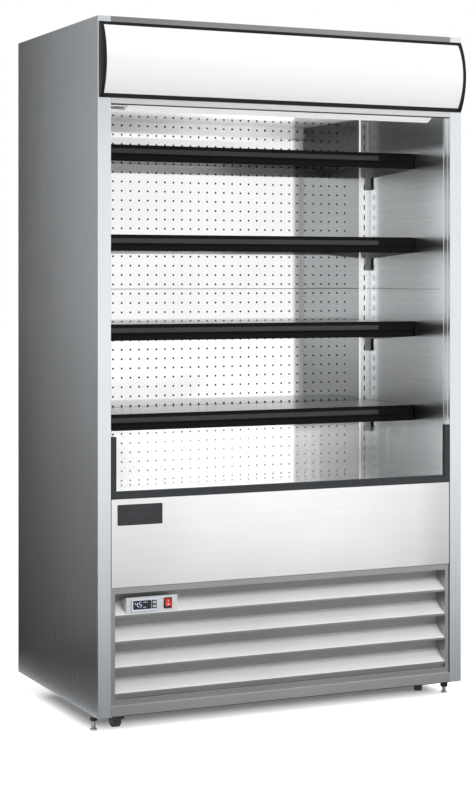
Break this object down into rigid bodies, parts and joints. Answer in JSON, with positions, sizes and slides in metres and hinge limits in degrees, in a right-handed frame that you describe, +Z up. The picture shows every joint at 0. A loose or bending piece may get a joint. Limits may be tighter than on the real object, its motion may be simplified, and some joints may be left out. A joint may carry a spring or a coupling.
{
  "type": "open multideck display fridge",
  "caption": "Free-standing open display cooler with a lit canopy, hooked shelves with price rails, a glass riser, louvred machine grille, feet and casters.",
  "frame": {"origin": "on the floor, below the middle of the whole outline", "axes": "+X to the customer's right, +Y to the back, +Z up"},
  "size_m": [1.175, 0.735, 2],
  "materials": {
    "cabinet_steel": "brushed stainless steel, grain upright",
    "front_steel": "brushed stainless steel, grain across",
    "liner_steel": "polished stainless steel",
    "panel_steel": "perforated stainless steel",
    "zinc": "zinc plated sheet",
    "foam": "rigid foam",
    "black_trim": "black, satin",
    "black_rail": "black anodised",
    "light_front": "translucent white, lit from behind",
    "lamp": "frosted light tube",
    "diffuser": "white diffuser",
    "glass": "clear glass",
    "badge": "dark plate, plain",
    "control_black": "black",
    "key_grey": "grey keys",
    "rocker_red": "red, translucent",
    "wheel_black": "black",
    "caster_black": "black",
    "foot_zinc": "zinc plated",
    "machine_black": "black, satin",
    "coil": "aluminium fins",
    "fan_plastic": "dark plastic",
    "copper": "copper pipe",
    "tray_plastic": "grey plastic"
  },
  "bodies": {
    "cabinet": {"back_panel_lower": "panel_steel", "back_panel_upper": "panel_steel", "badge_plate": "badge", "base_frame": "zinc", "canopy_frame": "black_trim", "canopy_front": "light_front", "canopy_lamps": "lamp", "caster_plates": "caster_black", "compressor": "machine_black", "condenser": "coil", "controller": "control_black", "deck_panel": "panel_steel", "drain_tray": "tray_plastic", "duct_ceiling": "liner_steel", "evaporator": "coil", "evaporator_fan_plate": "zinc", "front_glass": "glass", "front_panel": "front_steel", "glass_frame": "black_trim", "header_panel": "front_steel", "inner_liner": "liner_steel", "insulation": "foam", "kick_rail": "front_steel", "lamp_diffuser": "diffuser", "louvre_blades": "front_steel", "louvre_frame": "front_steel", "pipework": "copper", "rear_skin": "zinc", "return_grille": "panel_steel", "roof_skin": "cabinet_steel", "side_skin_left": "cabinet_steel", "side_skin_right": "cabinet_steel", "switch_bezel": "control_black", "uprights": "liner_steel"},
    "fork_left": {"caster_fork_left": "caster_black"},
    "fork_right": {"caster_fork_right": "caster_black"},
    "wheel_front_left": {"caster_wheel_front_left": "wheel_black"},
    "wheel_front_right": {"caster_wheel_front_right": "wheel_black"},
    "wheel_rear_left": {"caster_wheel_rear_left": "wheel_black"},
    "wheel_rear_right": {"caster_wheel_rear_right": "wheel_black"},
    "condenser_fan": {"condenser_fan": "fan_plastic"},
    "evaporator_fan_left": {"evaporator_fan_left": "fan_plastic"},
    "evaporator_fan_right": {"evaporator_fan_right": "fan_plastic"},
    "foot_left": {"foot_left": "foot_zinc"},
    "foot_right": {"foot_right": "foot_zinc"},
    "key_down": {"key_down": "key_grey"},
    "key_up": {"key_up": "key_grey"},
    "shelf_1": {"price_rail_1": "black_rail", "shelf_board_1": "panel_steel", "shelf_brackets_1": "caster_black"},
    "shelf_2": {"price_rail_2": "black_rail", "shelf_board_2": "panel_steel", "shelf_brackets_2": "caster_black"},
    "shelf_3": {"price_rail_3": "black_rail", "shelf_board_3": "panel_steel", "shelf_brackets_3": "caster_black"},
    "shelf_4": {"price_rail_4": "black_rail", "shelf_board_4": "panel_steel", "shelf_brackets_4": "caster_black"},
    "rocker": {"switch_rocker": "rocker_red"}
  },
  "joints": [
    {"name": "shelf_1_lift", "type": "slide", "parent": "cabinet", "child": "shelf_1", "axis": [0, 0, 1], "range_m": [0, 0.008]},
    {"name": "shelf_2_lift", "type": "slide", "parent": "cabinet", "child": "shelf_2", "axis": [0, 0, 1], "range_m": [0, 0.008]},
    {"name": "shelf_3_lift", "type": "slide", "parent": "cabinet", "child": "shelf_3", "axis": [0, 0, 1], "range_m": [0, 0.008]},
    {"name": "shelf_4_lift", "type": "slide", "parent": "cabinet", "child": "shelf_4", "axis": [0, 0, 1], "range_m": [0, 0.008]},
    {"name": "key_up_press", "type": "slide", "parent": "cabinet", "child": "key_up", "axis": [0, 1, 0], "range_m": [0, 0.0008], "stiffness_N_per_m": 400},
    {"name": "key_down_press", "type": "slide", "parent": "cabinet", "child": "key_down", "axis": [0, 1, 0], "range_m": [0, 0.0008], "stiffness_N_per_m": 400},
    {"name": "rocker_tilt", "type": "hinge", "parent": "cabinet", "child": "rocker", "pos_m": [-0.374, -0.3205, 0.354], "axis": [1, 0, 0], "range_deg": [0, 20]},
    {"name": "foot_left_screw", "type": "slide", "parent": "cabinet", "child": "foot_left", "axis": [0, 0, 1], "range_m": [-0.015, 0]},
    {"name": "foot_right_screw", "type": "slide", "parent": "cabinet", "child": "foot_right", "axis": [0, 0, 1], "range_m": [-0.015, 0]},
    {"name": "fork_left_swivel", "type": "hinge", "parent": "cabinet", "child": "fork_left", "pos_m": [-0.5035, -0.2215, 0.0588], "axis": [0, 0, 1], "continuous": true},
    {"name": "wheel_front_left_roll", "type": "hinge", "parent": "fork_left", "child": "wheel_front_left", "pos_m": [-0.5035, -0.2455, 0.025], "axis": [1, 0, 0], "continuous": true},
    {"name": "wheel_rear_left_roll", "type": "hinge", "parent": "cabinet", "child": "wheel_rear_left", "pos_m": [-0.5035, 0.2675, 0.025], "axis": [1, 0, 0], "continuous": true},
    {"name": "fork_right_swivel", "type": "hinge", "parent": "cabinet", "child": "fork_right", "pos_m": [0.5035, -0.2215, 0.0588], "axis": [0, 0, 1], "continuous": true},
    {"name": "wheel_front_right_roll", "type": "hinge", "parent": "fork_right", "child": "wheel_front_right", "pos_m": [0.51364, -0.19975, 0.025], "axis": [-0.9063, 0.4226, 0], "continuous": true},
    {"name": "wheel_rear_right_roll", "type": "hinge", "parent": "cabinet", "child": "wheel_rear_right", "pos_m": [0.5035, 0.2675, 0.025], "axis": [1, 0, 0], "continuous": true},
    {"name": "condenser_fan_spin", "type": "hinge", "parent": "cabinet", "child": "condenser_fan", "pos_m": [0.19, -0.1375, 0.203], "axis": [0, 1, 0], "continuous": true},
    {"name": "evaporator_fan_left_spin", "type": "hinge", "parent": "cabinet", "child": "evaporator_fan_left", "pos_m": [-0.23, -0.1025, 0.5435], "axis": [0, 1, 0], "continuous": true},
    {"name": "evaporator_fan_right_spin", "type": "hinge", "parent": "cabinet", "child": "evaporator_fan_right", "pos_m": [0.23, -0.1025, 0.5435], "axis": [0, 1, 0], "continuous": true}
  ]
}
